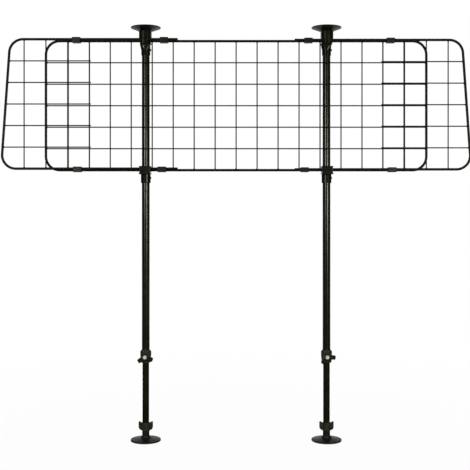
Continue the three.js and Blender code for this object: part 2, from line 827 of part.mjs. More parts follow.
function footPad() {
  const radius = footWidth / 2;
  const head = footStudHead / 2 + gap;
  const shank = footStud / 2 + gap;
  const cavityTop = footFloor + footStudHeadHeight + gap;
  const cavity = revolve([
    [0, footFloor - gap],
    [head, footFloor - gap],
    [head, cavityTop],
    [shank, cavityTop],
    [shank, footHeight + overrun],
    [0, footHeight + overrun],
  ]);
  return revolve([
    [0, 0],
    [radius - footEdge, 0],
    [radius, footEdge],
    [radius, footRim],
    [footNeck / 2 + footCone, footRim + footRise],
    [footNeck / 2, footRim + footRise + footCone],
    [footNeck / 2, footHeight],
    [0, footHeight],
  ], padSides).subtract(cavity);
}

// Assembly

const guard = new THREE.Group();
guard.name = 'car_dog_guard';
guard.add(piece('centre_panel', centrePanel(), paint));

for (const [hand, outward] of [['left', -1], ['right', 1]]) {
  const lift = sideLift[hand];
  guard.add(piece(`${hand}_side_panel`, sidePanel(outward, lift), paint));

  for (const level of ['top', 'bottom']) {
    for (const place of ['inner', 'outer']) {
      const bay = place === 'inner' ? postBay - 1 : wiresEachSide - 1;
      const clip = piece(`${hand}_${level}_${place}_clip`, rodClip(lift, level === 'bottom'), plastic);
      clip.position.x = outward * (bay + clipBayShares[hand][level][place]) * wirePitch;
      clip.position.y = centrePlane;
      clip.position.z = level === 'top' ? topRod : frameLift;
      guard.add(clip);
    }
  }

  const post = new THREE.Group();
  post.position.x = outward * postX;
  guard.add(post);
  post.add(piece(`${hand}_top_pad`, topPad(), rubber));
  post.add(piece(`${hand}_top_head`, topHead(lift), plastic));
  post.add(piece(`${hand}_upper_tube`, upperTube(), paint));
  post.add(piece(`${hand}_lower_bracket`, lowerBracket(outward, lift), plastic));
  post.add(piece(`${hand}_joint_collar`, jointCollar(), plastic));
  post.add(piece(`${hand}_lower_tube`, pipe(legOuter, legOuter - 2 * legWall, legBottom,
    legBottom + legLength), paint));
  post.add(piece(`${hand}_end_plug`, endPlug(), plastic));
  post.add(piece(`${hand}_jack_wing_nut`, jackWingNut(), plastic));
  post.add(piece(`${hand}_jack_nut`, jackNutBody(), steel));
  post.add(piece(`${hand}_foot_stud`, footStudBody(), steel));
  post.add(piece(`${hand}_foot_pad`, footPad(), rubber));

  const screws = [
    ['head_screw', headBottom + headScrewRise, headScrewSeat],
    ['bracket_screw', bracketBottom + bracketScrewRise, bracketScrewSeat],
  ];
  for (const [name, height, seat] of screws) {
    const length = seat + gap - (tubeOuter / 2 - tubeWall);
    const fastener = piece(`${hand}_${name}`, panScrew(length), steel);
    fastener.rotation.y = Math.PI / 2;
    fastener.position.set(seat + gap, 0, height);
    post.add(fastener);
  }

  const bracketEar = new THREE.Group();
  bracketEar.position.set(0, boltBack, boltHeight);
  bracketEar.rotation.y = (outward * Math.PI) / 2;
  post.add(bracketEar);
  const boltPiece = piece(`${hand}_bracket_bolt`, bracketBolt(), steel);
  boltPiece.position.z = -earWidth / 2 - gap;
  bracketEar.add(boltPiece);
  const wing = piece(`${hand}_bracket_wing_nut`, wingNut(), plastic);
  wing.position.z = earWidth / 2 + gap;
  bracketEar.add(wing);

  const clamp = new THREE.Group();
  clamp.position.z = clampHeight;
  clamp.rotation.x = Math.PI / 2;
  post.add(clamp);
  clamp.add(piece(`${hand}_clamp_nut`, clampNutBody(), steel));
  clamp.add(piece(`${hand}_clamp_stud`, clampStudBody(), zinc));
  const turned = new THREE.Group();
  turned.rotation.z = handleTurn[hand] * degree;
  clamp.add(turned);
  turned.add(piece(`${hand}_clamp_handle`, clampHandle(), plastic));
  turned.add(piece(`${hand}_handle_core`, handleCore(), zinc));
}

export default guard;
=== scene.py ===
"""Looks of the car dog guard: a welded wire panel on two telescopic posts, with two side panels that slide.

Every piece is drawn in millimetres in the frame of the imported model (+Z up, mesh towards -Y), about the
axis of its own post where it belongs to one, and is turned into metres when it is put in its place.
"""
import json
import math

import bmesh
import bpy
from mathutils import Matrix, Vector


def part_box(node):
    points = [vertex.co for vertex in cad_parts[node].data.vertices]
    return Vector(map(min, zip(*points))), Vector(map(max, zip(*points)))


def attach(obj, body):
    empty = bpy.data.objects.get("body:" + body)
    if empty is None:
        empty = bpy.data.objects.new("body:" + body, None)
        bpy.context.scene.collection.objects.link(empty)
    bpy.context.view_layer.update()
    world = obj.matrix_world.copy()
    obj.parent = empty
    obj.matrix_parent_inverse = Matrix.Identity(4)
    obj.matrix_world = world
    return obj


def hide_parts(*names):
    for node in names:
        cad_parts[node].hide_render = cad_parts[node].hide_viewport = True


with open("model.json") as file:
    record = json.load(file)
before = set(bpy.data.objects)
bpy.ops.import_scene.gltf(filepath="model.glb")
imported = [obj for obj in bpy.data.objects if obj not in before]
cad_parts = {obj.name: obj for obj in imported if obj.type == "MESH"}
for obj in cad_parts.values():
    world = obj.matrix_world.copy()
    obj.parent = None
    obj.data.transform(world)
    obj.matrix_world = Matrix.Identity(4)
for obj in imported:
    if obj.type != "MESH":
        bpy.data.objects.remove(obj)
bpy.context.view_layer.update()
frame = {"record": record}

scene = bpy.context.scene
record = frame["record"]
MM = 0.001
HALF_TURN = math.pi
QUARTER_TURN = HALF_TURN / 2

body_of = {node: body for body, nodes in record["behaviour"]["bodies"].items() for node in nodes}


def box_mm(node):
    """Lowest and highest corner of a solid, in millimetres."""
    low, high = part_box(node)
    return low / MM, high / MM


# Rods and wires of the welded panels
ROD = 5.5  # of bare steel
COATED_ROD = 6.2  # over its coating
ROD_SIDES = 20
WIRE = 3.0  # over its coating
WIRE_SIDES = 12
BEND = 33.0  # radius of the rods' corners at their centre line
BEND_STEPS = 12
ROD_TIP = 1.0  # rounding of a prong's end
LAYER = 1.1  # the upright wires lie this far in front of the rods' plane and the level ones behind it
WELD = 2.1  # radius of the bead where two wires cross
WELD_SIDES = 8
WELD_RINGS = 5
BEAD_ON_WIRE = (0.85, 1.05, 0.85)  # a bead's width, depth and height, as shares of its radius
BEAD_ON_ROD = (1.05, 0.9, 1.0)

# Centre panel
panel_low, panel_high = box_mm("centre_panel")
BOTTOM_ROD = panel_low.z + ROD / 2
TOP_ROD = panel_high.z - ROD / 2
HALF_PANEL = panel_high.x - ROD / 2
PITCH = 50.8
UPRIGHTS_EACH_SIDE = 8
LEVEL_GAPS = 6
CENTRE_PLANE = (panel_low.y + panel_high.y) / 2

# Side panels, as distances from the middle of the guard
REACH_TOP = 545.65
REACH_BOTTOM = 567.65
INNER_WIRE = 354.0
PRONG_END = 141.0
SIDE_PITCH = 52.6
SIDE_UPRIGHTS = 4
ROD_GAP = 1.5  # between two bare rods, one behind the other
ROD_SPACING = ROD + ROD_GAP
SIDE_PLANE = CENTRE_PLANE - ROD_SPACING

# Clips that hold two rods together
CLIP_PLAY = 0.2
CLIP_SEAT = COATED_ROD / 2 + CLIP_PLAY
CLIP_WALL = 1.75
CLIP_LENGTH = 20.0
CLIP_MOUTH = 1.9  # half the opening that presses over a rod
CLIP_CORNER = 1.6

# Fits
GAP = 0.3
SLIDE = 0.5
PAST = 3.0  # how far a cut runs past what it cuts
SKIN = 0.01  # overlap that keeps two faces out of one plane
OUTSIDE = 30.0  # beyond every fitting, from its post's axis
ROD_SLOT = ROD / 2 + SLIDE
CHANNEL_BACK = CENTRE_PLANE + ROD_SLOT
CHANNEL_FRONT = SIDE_PLANE - ROD_SLOT

# Posts
tube_low, tube_high = box_mm("right_upper_tube")
leg_low, leg_high = box_mm("right_lower_tube")
POST_X = (tube_low.x + tube_high.x) / 2
TUBE = 19.0
TUBE_WALL = 1.2
LEG = 16.0
LEG_WALL = 1.0

# What the top head and the lower bracket share
LIP = 3.0  # wall in front of the rods
FITTING_FRONT = CHANNEL_FRONT - LIP
RIB_RISE = 1.8  # of a rib or a band above the face it stands on
SCREW = 3.0
SCREW_HEAD = 3.0  # radius

# Top head
head_low, head_high = box_mm("right_top_head")
HEAD_NECK = 11.0  # radius round the tube
HEAD_HALF = 15.0  # radius over the rods
HEAD_SEAT = 11.04  # from the post's axis to the flat under the screw's head
HEAD_SCREW = head_low.z + 13.0
SKIRT = TOP_ROD - 5.6  # lower edge of the hook over the rods
SPIGOT = 14.0
SPIGOT_RISE = 6.0
HEAD_TOP = head_high.z - SPIGOT_RISE
HEAD_BLOCK_TOP = HEAD_TOP - 14.8  # the block ends here, inside the collar
SLIT = -1.5  # the head's slit stands this far beside the post's axis
SLIT_HALF = 1.2

# Lower bracket
bracket_low, bracket_high = box_mm("right_lower_bracket")
SLEEVE = 11.9  # radius round the tube
BRACKET_HALF = 14.2
BRACKET_SEAT = SLEEVE - 0.7
BRACKET_SCREW = bracket_low.z + 12.5
BRACKET_BLOCK = BOTTOM_ROD - 10.0  # lower edge of the block round the rods
EAR_WIDTH = 17.0
EAR_RADIUS = 7.5
BOLT = 5.0
BOLT_HEIGHT = BOTTOM_ROD + 1.8
BOLT_BACK = 19.571  # behind the post's axis
WING_HUB = 5.0  # height of the bracket wing nut's hub

# Joint collar and clamp. The clamp's parts are measured forwards from the post's axis
collar_low = box_mm("right_joint_collar")[0]
CLAMP_RISE = 12.1  # of the clamp's axis above the foot of the upper tube
CLAMP_HEIGHT = tube_low.z + CLAMP_RISE
CLAMP_STUD = 6.0
CLAMP_NUT = 10.0  # across flats
CLAMP_NUT_DEPTH = 3.3
CORE_FLATS = 8.4  # the bright nut in the handle
CORE_DEPTH = 5.2
BOSS_REACH = 17.0
HANDLE_FOOT = BOSS_REACH + GAP
HANDLE_DEPTH = 7.0
HANDLE_FLOOR = 3.2  # under the bright nut
CORE_FOOT = HANDLE_FOOT + HANDLE_FLOOR + GAP
CORE_TOP = CORE_FOOT + CORE_DEPTH
HANDLE_TURN = {"left": -83.5, "right": -65.5}  # degrees, as in the photo

# Jack and foot
jack_low, jack_high = box_mm("right_jack_wing_nut")
JACK_NUT = 13.0  # across flats
JACK_NUT_DEPTH = 6.5
FOOT_STUD = 8.0
STUD_HEAD = 6.5  # radius
STUD_HEAD_DEPTH = 3.0


# Colours and finishes

COLOUR_SPAN = (0.35, 0.65)  # of the noise, from a finish's dark to its light colour
ROUGH_SPAN = (0.12, 0.38)  # of blotch times grain, from the least to the most rough


def tone(code):
    """An sRGB colour as linear light."""
    parts = [int(code[i:i + 2], 16) / 255 for i in (1, 3, 5)]
    return [p / 12.92 if p <= 0.04045 else ((p + 0.055) / 1.055) ** 2.4 for p in parts] + [1.0]


def feed(tree, node, inputs):
    """Gives a node its inputs. Each is a number, a colour or another node's output."""
    for name, value in inputs.items():
        if isinstance(value, bpy.types.NodeSocket):
            tree.links.new(value, node.inputs[name])
        else:
            node.inputs[name].default_value = value


def add(tree, kind, inputs=None, **settings):
    """One node with its settings and inputs."""
    node = tree.nodes.new(kind)
    for name, value in settings.items():
        setattr(node, name, value)
    feed(tree, node, inputs or {})
    return node


def new(tree, kind, inputs=None, **settings):
    """The first output of a new node."""
    return add(tree, kind, inputs, **settings).outputs[0]


def geo(tree, kind, inputs=None, **settings):
    """The first output of a new geometry node."""
    return new(tree, "GeometryNode" + kind, inputs, **settings)


def calc(tree, operation, *values):
    """One step of arithmetic on numbers and outputs."""
    return new(tree, "ShaderNodeMath", dict(enumerate(values)), operation=operation)


def spread(tree, value, low, high, start=0.0, end=1.0):
    """A number between two limits, stretched to run between two others."""
    return new(tree, "ShaderNodeMapRange", {
        "Value": value, "From Min": low, "From Max": high, "To Min": start, "To Max": end})


def finish_of(name, dark, light, blotch_mm, roughness, grain_mm, grain_depth, metallic=0.0, specular=0.5):
    """A finish with a slow drift of colour and roughness and a fine relief, with sizes in mm."""
    material = bpy.data.materials.new(name)
    material.use_nodes = True
    tree = material.node_tree
    place = add(tree, "ShaderNodeTexCoord").outputs["Object"]
    blotch = new(tree, "ShaderNodeTexNoise", {
        "Vector": place, "Scale": 1 / (blotch_mm * MM), "Detail": 3.0, "Roughness": 0.55})
    grain = new(tree, "ShaderNodeTexNoise", {
        "Vector": place, "Scale": 1 / (grain_mm * MM), "Detail": 2.0, "Roughness": 0.6})
    colour = add(tree, "ShaderNodeMix", {
        0: spread(tree, blotch, *COLOUR_SPAN), 6: tone(dark), 7: tone(light)}, data_type="RGBA").outputs[2]
    rough = spread(tree, calc(tree, "MULTIPLY", blotch, grain), *ROUGH_SPAN, *roughness)
    relief = new(tree, "ShaderNodeBump", {"Height": grain, "Strength": 0.5, "Distance": grain_depth * MM})
    feed(tree, tree.nodes["Principled BSDF"], {
        "Base Color": colour, "Roughness": rough, "Normal": relief, "Metallic": metallic,
        "Specular IOR Level": specular})
    return material


# Stoved black enamel on drawn steel tube: smooth and glossy, with a slight orange peel.
tube_enamel = finish_of("stoved_black_enamel", "#15140a", "#1c1b0f", 28, (0.2, 0.26), 2.5, 0.02)
# Dipped black coating on welded wire: thicker and softer in gloss, a little lumpy near the welds.
wire_coating = finish_of("dipped_black_wire_coating", "#0b0b08", "#11110d", 16, (0.34, 0.46), 1.6, 0.04,
                         specular=0.2)
# Moulded glass-filled nylon: olive black and half matt, with a fine even grain.
moulded_nylon = finish_of("moulded_black_nylon", "#100f05", "#18170a", 11, (0.21, 0.3), 0.45, 0.03,
                          specular=0.33)
# The same nylon, a little rougher, with a greyer colour that is painted sheen: it stands in for the soft
# shine the lamps give the joint collars' bosses and the jack wing nuts, where it is used.
painted_sheen_nylon = finish_of("black_nylon_with_painted_sheen", "#2a2a22", "#36362d", 7, (0.26, 0.38), 0.45, 0.05, specular=0.4)
# Between these two in tone, on the clamp handles and the rod clips. Its tone above the first nylon's is
# painted sheen and painted highlight, for the shine the lamps give their rounded faces.
half_painted_sheen_nylon = finish_of("black_nylon_with_half_painted_sheen", "#1a1a13", "#24241d", 7, (0.28, 0.4), 0.45, 0.04,
                            specular=0.25)
# Moulded EPDM rubber: soft grey black with a dull sheen and faint marks of the mould.
moulded_rubber = finish_of("moulded_black_rubber", "#141411", "#1d1d19", 14, (0.36, 0.5), 0.9, 0.05,
                           specular=0.27)
# Bright zinc plate on the clamps' nut and stud: pale, nearly white and half matt.
zinc_plate = finish_of("bright_zinc_plate", "#eceae0", "#f6f5ee", 3, (0.5, 0.62), 0.5, 0.02, metallic=0.3)
# Plain plated steel on the other screws, bolts and nuts: greyer and glossier than the zinc.
plated_steel = finish_of("plated_steel", "#84868a", "#a4a6a6", 3, (0.3, 0.42), 0.5, 0.02, metallic=1.0)


# Shapes

MERGE = 1e-4  # points nearer than this are one
ON_AXIS = 1e-6  # a smaller radius is a single point
SHARPEST = 0.2  # keeps the inset of a sharp corner in bounds
NUT_BEVEL = 0.6  # height of a nut's turned corners, as a share of their depth
NUT_CLEARANCE = 0.2
SHARP_ANGLE = 33  # degrees from which an edge shows as an edge


def shown(mesh):
    obj = bpy.data.objects.new(mesh.name, mesh)
    scene.collection.objects.link(obj)
    return obj


def settled(obj):
    """The object with its modifiers worked into its mesh."""
    mesh = bpy.data.meshes.new_from_object(obj.evaluated_get(bpy.context.evaluated_depsgraph_get()))
    obj.modifiers.clear()
    obj.data = mesh
    return obj


def closed_mesh(name, points, faces):
    """A closed shape from its points and faces, with every face turned outwards."""
    mesh = bpy.data.meshes.new(name)
    mesh.from_pydata(points, [], faces)
    form = bmesh.new()
    form.from_mesh(mesh)
    bmesh.ops.remove_doubles(form, verts=form.verts, dist=MERGE)
    bmesh.ops.recalc_face_normals(form, faces=form.faces)
    form.to_mesh(mesh)
    form.free()
    return shown(mesh)


def arc(radius, start, end, steps, u=0.0, v=0.0):
    """Points on an arc about (u, v), from one angle to another."""
    turns = [start + (end - start) * k / steps for k in range(steps + 1)]
    return [(u + radius * math.cos(turn), v + radius * math.sin(turn)) for turn in turns]


def ring(radius, count):
    """Points spread evenly on a circle about the origin."""
    return arc(radius, 0, 2 * HALF_TURN, count)[:-1]


def four(u0, u1, v0, v1, *more):
    """The corners of a rectangle, each followed by what they have in common."""
    return [(u, v, *more) for u, v in ((u0, v0), (u1, v0), (u1, v1), (u0, v1))]


def rounded(corners, closed=True, steps=5):
    """A line through (u, v) or (u, v, radius) corners. A corner with a radius becomes an arc."""
    points = []
    for i, (u, v, *radius) in enumerate(corners):
        if not radius or (not closed and i in (0, len(corners) - 1)):
            points.append((u, v))
            continue
        here = Vector((u, v))
        before = (Vector(corners[i - 1][:2]) - here).normalized()
        after = (Vector(corners[(i + 1) % len(corners)][:2]) - here).normalized()
        half = before.angle(after) / 2
        middle = here + (before + after).normalized() * (radius[0] / math.sin(half))
        arm = here + before * (radius[0] / math.tan(half)) - middle
        side = -1 if before.x * after.y - before.y * after.x > 0 else 1
        for step in range(steps + 1):
            turn = side * (HALF_TURN - 2 * half) * step / steps
            points.append((middle.x + arm.x * math.cos(turn) - arm.y * math.sin(turn),
                           middle.y + arm.x * math.sin(turn) + arm.y * math.cos(turn)))
    return points


def turned(corners, sides=56, steps=4, loop=False):
    """A round form about Z from (radius, height[, rounding]) corners. The first and the last are joined to
    the axis, or to each other in a loop."""
    if not loop:
        corners = [(0, corners[0][1]), *corners, (0, corners[-1][1])]
    points, rings, faces = [], [], []
    for radius, height in rounded(corners, closed=loop, steps=steps):
        count = 1 if radius < ON_AXIS else sides
        rings.append([len(points) + k for k in range(count)])
        points += [(x, y, height) for x, y in ring(radius, count)]
    above = rings[1:] + rings[:1] if loop else rings[1:]
    for low, high in zip(rings, above):
        for k in range(sides):
            after = (k + 1) % sides
            around = [low[i % len(low)] for i in (k, after)] + [high[i % len(high)] for i in (after, k)]
            face = list(dict.fromkeys(around))
            if len(face) > 2:
                faces.append(face)
    return closed_mesh("turned", points, faces)


def inset(line, amount):
    """A closed line moved inwards by an amount, corner by corner."""
    area = sum(a[0] * b[1] - b[0] * a[1] for a, b in zip(line, line[1:] + line[:1]))
    inward = 1 if area > 0 else -1
    inner = []
    for i, here in enumerate(line):
        back, ahead = Vector(line[i - 1]), Vector(line[(i + 1) % len(line)])
        arriving = (Vector(here) - back).normalized()
        leaving = (ahead - Vector(here)).normalized()
        normal = Vector((-arriving.y - leaving.y, arriving.x + leaving.x)) * inward
        scale = amount / max(normal.length_squared / 2, SHARPEST)
        inner.append((here[0] + normal.x * scale, here[1] + normal.y * scale))
    return inner


def pressed(line, axis, low, high, edge=0.0, steps=3):
    """A closed line given a thickness along one axis, with its rims rounded by the edge radius."""
    rim = arc(edge, 0, QUARTER_TURN, steps) if edge else [(0, 0)]
    levels = [(low + edge - u, edge - v) for u, v in rim]
    levels += [(low + high - w, shrink) for w, shrink in reversed(levels)]
    order = {"x": (2, 0, 1), "y": (0, 2, 1), "z": (0, 1, 2)}[axis]
    points, faces, count = [], [], len(line)
    for w, shrink in levels:
        points += [tuple((u, v, w)[i] for i in order) for u, v in (inset(line, shrink) if shrink else line)]
    for base in range(0, len(points) - count, count):
        for k in range(count):
            after = (k + 1) % count
            faces.append([base + k, base + after, base + count + after, base + count + k])
    faces += [list(range(count)), list(range(len(points) - count, len(points)))]
    return closed_mesh("pressed", points, faces)


def slab(x0, x1, y0, y1, z0, z1):
    return pressed(four(x0, x1, y0, y1), "z", z0, z1)


def pin(width, low, high, sides=40):
    return turned([(width / 2, low), (width / 2, high)], sides)


def bore(width, low, high, sides=40):
    """The room for a round piece about Z, with the gap all round it."""
    return pin(width + 2 * GAP, low, high, sides)


def hexagon(flats, low, high, corner_cut=0.0):
    """A hexagonal bar about Z. Its corners may be turned off at both ends, as on a nut."""
    radius = flats / 2 / math.cos(HALF_TURN / 6)
    bar = pressed(ring(radius, 6), "z", low, high)
    if not corner_cut:
        return bar
    face, outer, bevel = radius - corner_cut, radius + NUT_CLEARANCE, corner_cut * NUT_BEVEL
    kept = turned([(face, low - SKIN), (outer, low + bevel), (outer, high - bevel), (face, high + SKIN)])
    return combined(bar, kept, operation="INTERSECT")


def combined(base, *others, operation="UNION"):
    """The base joined with, cut by or limited to the others, one after another."""
    for other in others:
        modifier = base.modifiers.new("cut", "BOOLEAN")
        modifier.operation = operation
        modifier.solver = "MANIFOLD"
        modifier.object = other
        settled(base)
        bpy.data.objects.remove(other)
    return base


def cut(base, *others):
    return combined(base, *others, operation="DIFFERENCE")


def gathered(*shapes):
    """Several closed shapes as one piece."""
    form = bmesh.new()
    for shape in shapes:
        form.from_mesh(shape.data)
        if shape is not shapes[0]:
            bpy.data.objects.remove(shape)
    form.to_mesh(shapes[0].data)
    form.free()
    return shapes[0]


def placed(shape, *moves):
    """The shape after its moves, the first one first."""
    for move in moves:
        shape.data.transform(move)
    return shape


def shift(x, y, z):
    return Matrix.Translation((x, y, z))


def lift(z):
    return shift(0, 0, z)


def spin(degrees, axis):
    return Matrix.Rotation(math.radians(degrees), 4, axis)


AT_BOLT = shift(0, BOLT_BACK, BOLT_HEIGHT)


def piece(node, shape, material, x=0.0):
    """Puts a finished shape in the place of a solid, on the body that the solid moves with."""
    mesh = shape.data
    mesh.transform(Matrix.Scale(MM, 4) @ shift(x, 0, 0))
    mesh.materials.clear()
    mesh.materials.append(material)
    mesh.shade_smooth()
    mesh.set_sharp_from_angle(angle=math.radians(SHARP_ANGLE))
    even = shape.modifiers.new("even_normals", "WEIGHTED_NORMAL")
    even.keep_sharp = True
    settled(shape)
    shape.name = node + "_fine"
    shape.data.name = shape.name
    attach(shape, body_of[node])
    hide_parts(node)


# Rules for what repeats: the welded panels and the rolled threads

THREAD_DEPTH = 0.55  # as a share of the pitch
DEEP_PITCH = 1.4  # a coarser thread has no deeper groove
THREAD_ROWS = 6  # rows of points in one pitch


def new_rule(name, inputs):
    """An empty geometry tree with inputs named by their kind, and the outlets that carry them."""
    tree = bpy.data.node_groups.new(name, "GeometryNodeTree")
    tree.interface.new_socket("Geometry", in_out="OUTPUT", socket_type="NodeSocketGeometry")
    for kind, labels in inputs.items():
        for label in labels:
            tree.interface.new_socket(label, in_out="INPUT", socket_type="NodeSocket" + kind)
    return tree, add(tree, "NodeGroupInput").outputs


def real(tree, copied):
    return geo(tree, "RealizeInstances", {"Geometry": copied})


def ended_rule(tree, geometry, material):
    """The tree with its result led out in one finish."""
    finished = geo(tree, "SetMaterial", {"Geometry": real(tree, geometry), "Material": material})
    add(tree, "NodeGroupOutput", {"Geometry": finished})
    return tree


def grown(tree, start, values):
    """What a tree makes of a starting mesh with these input values, as a plain mesh."""
    obj = shown(start)
    modifier = obj.modifiers.new(tree.name, "NODES")
    modifier.node_group = tree
    for item in tree.interface.items_tree:
        if item.in_out == "INPUT" and item.name in values:
            modifier[item.identifier] = values[item.name]
    return settled(obj)


def half_of(tree, value):
    return calc(tree, "MULTIPLY", value, 0.5)


def point_at(tree, x=0.0, y=0.0, z=0.0):
    """A place or a distance from its three numbers."""
    return new(tree, "ShaderNodeCombineXYZ", {"X": x, "Y": y, "Z": z})


def row(tree, count, start, step):
    return geo(tree, "MeshLine", {"Count": count, "Start Location": start, "Offset": step})


def moved(tree, points, offset):
    return geo(tree, "SetPosition", {"Geometry": points, "Offset": offset})


def copies(tree, points, shape, **more):
    """One copy of a shape at each point."""
    return geo(tree, "InstanceOnPoints", {"Points": points, "Instance": shape, **more})


def round_bar(tree, sides, radius, length):
    """A cylinder about Z, centred on the origin."""
    return geo(tree, "MeshCylinder", {"Vertices": sides, "Radius": radius, "Depth": length})


def welded_panel_rule():
    """A bent rod with upright wires in front of its plane, level wires behind it and a bead at each weld.
    The starting mesh is the rod's centre line."""
    tree, size = new_rule("welded_panel", {
        "Geometry": ["Geometry"], "Material": ["Coating"], "Bool": ["Weld at start"],
        "Int": ["Uprights", "Level gaps"],
        "Float": ["Rod diameter", "Rod tip share", "Wire diameter", "Layer", "Plane", "Bottom", "Height",
                  "First upright", "Upright pitch", "Level start", "Reach bottom", "Reach top",
                  "Weld radius"]})
    rod_radius = half_of(tree, size["Rod diameter"])
    wire_radius = half_of(tree, size["Wire diameter"])
    half_height = half_of(tree, size["Height"])

    # The rod, with its two ends drawn in where it has any
    line = geo(tree, "MeshToCurve", {"Mesh": size["Geometry"]})
    width = geo(tree, "Switch", {
        "Switch": geo(tree, "CurveEndpointSelection"),
        "False": 1.0, "True": size["Rod tip share"]}, input_type="FLOAT")
    section = geo(tree, "CurvePrimitiveCircle", {"Resolution": ROD_SIDES, "Radius": rod_radius})
    rod = geo(tree, "CurveToMesh", {
        "Curve": line, "Profile Curve": section, "Scale": width, "Fill Caps": True})

    # Upright wires from the bottom rod to the top rod
    middle = calc(tree, "ADD", size["Bottom"], half_height)
    front = calc(tree, "SUBTRACT", size["Plane"], size["Layer"])
    feet = row(tree, size["Uprights"], point_at(tree, size["First upright"], front, middle),
               point_at(tree, size["Upright pitch"]))
    uprights = copies(tree, feet, round_bar(tree, WIRE_SIDES, wire_radius, size["Height"]))

    # Level wires, each as long as the leaning outer rod lets it be
    inner_rows = calc(tree, "SUBTRACT", size["Level gaps"], 1.0)
    rise = calc(tree, "DIVIDE", size["Height"], size["Level gaps"])
    upwards = point_at(tree, z=rise)
    back = calc(tree, "ADD", size["Plane"], size["Layer"])
    first = point_at(tree, y=back, z=calc(tree, "ADD", size["Bottom"], rise))
    rows = row(tree, inner_rows, first, upwards)
    order = calc(tree, "ADD", geo(tree, "InputIndex"), 1.0)
    share = calc(tree, "DIVIDE", order, size["Level gaps"])
    lean = calc(tree, "MULTIPLY", calc(tree, "SUBTRACT", size["Reach top"], size["Reach bottom"]), share)
    reach = calc(tree, "ADD", size["Reach bottom"], lean)
    centre = half_of(tree, calc(tree, "ADD", size["Level start"], reach))
    length = calc(tree, "ABSOLUTE", calc(tree, "SUBTRACT", reach, size["Level start"]))
    levels = copies(tree, moved(tree, rows, point_at(tree, centre)),
                    round_bar(tree, WIRE_SIDES, wire_radius, 1.0),
                    Rotation=(0.0, QUARTER_TURN, 0.0), Scale=point_at(tree, 1.0, 1.0, length))

    # Weld beads where wires cross, and where they meet the rods
    bead = geo(tree, "MeshUVSphere", {
        "Segments": WELD_SIDES, "Rings": WELD_RINGS, "Radius": size["Weld radius"]})
    lowest = calc(tree, "SUBTRACT", rise, half_height)
    crossings = row(tree, inner_rows, point_at(tree, y=size["Layer"], z=lowest), upwards)
    span = calc(tree, "SUBTRACT", size["Height"], size["Rod diameter"])
    ends = row(tree, 2, point_at(tree, z=calc(tree, "SUBTRACT", rod_radius, half_height)),
               point_at(tree, z=span))
    beads = []
    for on_upright, shape in ((crossings, BEAD_ON_WIRE), (ends, BEAD_ON_ROD)):
        beads.append(copies(tree, real(tree, copies(tree, feet, on_upright)), bead, Scale=shape))
    for edge, wanted in ((reach, True), (size["Level start"], size["Weld at start"])):
        inwards = calc(tree, "MULTIPLY", calc(tree, "SIGN", edge), rod_radius)
        spots = moved(tree, rows, point_at(tree, calc(tree, "SUBTRACT", edge, inwards)))
        beads.append(copies(tree, spots, bead, Selection=wanted))

    whole = add(tree, "GeometryNodeJoinGeometry")
    for part in (rod, uprights, levels, *beads):
        tree.links.new(part, whole.inputs[0])
    return ended_rule(tree, whole.outputs[0], size["Coating"])


def rolled_thread_rule():
    """A threaded bar about Z, centred on the origin, with its ends chamfered."""
    tree, size = new_rule("rolled_thread", {
        "Geometry": ["Geometry"], "Material": ["Plating"], "Int": ["Sides", "Rows"],
        "Float": ["Diameter", "Length", "Pitch", "Depth", "Chamfer"]})
    radius = half_of(tree, size["Diameter"])
    bar = geo(tree, "MeshCylinder", {
        "Vertices": size["Sides"], "Side Segments": size["Rows"], "Radius": radius,
        "Depth": size["Length"]})
    at = add(tree, "ShaderNodeSeparateXYZ", {"Vector": geo(tree, "InputPosition")}).outputs
    around = calc(tree, "DIVIDE", calc(tree, "ARCTAN2", at["Y"], at["X"]), 2 * HALF_TURN)
    along = calc(tree, "SUBTRACT", calc(tree, "DIVIDE", at["Z"], size["Pitch"]), around)
    # Depth of the groove at this point of the helix, from 0 at the crest to 1 at the root
    groove = calc(tree, "PINGPONG", calc(tree, "MULTIPLY", along, 2.0), 1.0)
    to_end = calc(tree, "SUBTRACT", half_of(tree, size["Length"]), calc(tree, "ABSOLUTE", at["Z"]))
    removed = calc(tree, "MAXIMUM", calc(tree, "MULTIPLY", groove, size["Depth"]),
                   calc(tree, "SUBTRACT", size["Chamfer"], to_end))
    kept = calc(tree, "SUBTRACT", 1.0, calc(tree, "DIVIDE", removed, radius))
    x, y = (calc(tree, "MULTIPLY", at[axis], kept) for axis in "XY")
    thread = geo(tree, "SetPosition", {"Geometry": bar, "Position": point_at(tree, x, y, at["Z"])})
    return ended_rule(tree, thread, size["Plating"])


panel_rule = welded_panel_rule()
thread_rule = rolled_thread_rule()


def threaded_bar(diameter, low, high, pitch, plating, chamfer=0.6, sides=20):
    """A threaded bar about Z from one height to another."""
    length = high - low
    bar = grown(thread_rule, bpy.data.meshes.new("thread"), {
        "Diameter": diameter, "Length": length, "Pitch": pitch, "Chamfer": chamfer, "Sides": sides,
        "Depth": THREAD_DEPTH * min(pitch, DEEP_PITCH), "Rows": round(THREAD_ROWS * length / pitch),
        "Plating": plating})
    return placed(bar, lift((low + high) / 2))


# Camera, light and floor, in metres

CAMERA_BACK = 2.185
CAMERA_HEIGHT = 0.5705
LAMPS_BACK = 2.3
CLOTH_FOOT = 0.0004
FLOOR_HALF = 9.0
FLOOR_HEIGHT = -0.0006
FADE = (0.4, 1.5)  # the floor fades into the background between these distances
FLOOR_CLEAR = 0.97  # how clear the floor is near the guard


def make_camera():
    """The photograph was taken from straight in front, level, at the height of the posts' middle."""
    view = bpy.data.cameras.new("photo_view")
    view.sensor_width = 36
    view.lens = 68.58
    view.shift_x = -0.0024
    view.shift_y = -0.0602
    view.clip_end = 50
    camera = bpy.data.objects.new("photo_view", view)
    camera.location = (0, -CAMERA_BACK, CAMERA_HEIGHT)
    camera.rotation_euler = (QUARTER_TURN, 0, 0)
    scene.collection.objects.link(camera)
    scene.camera = camera


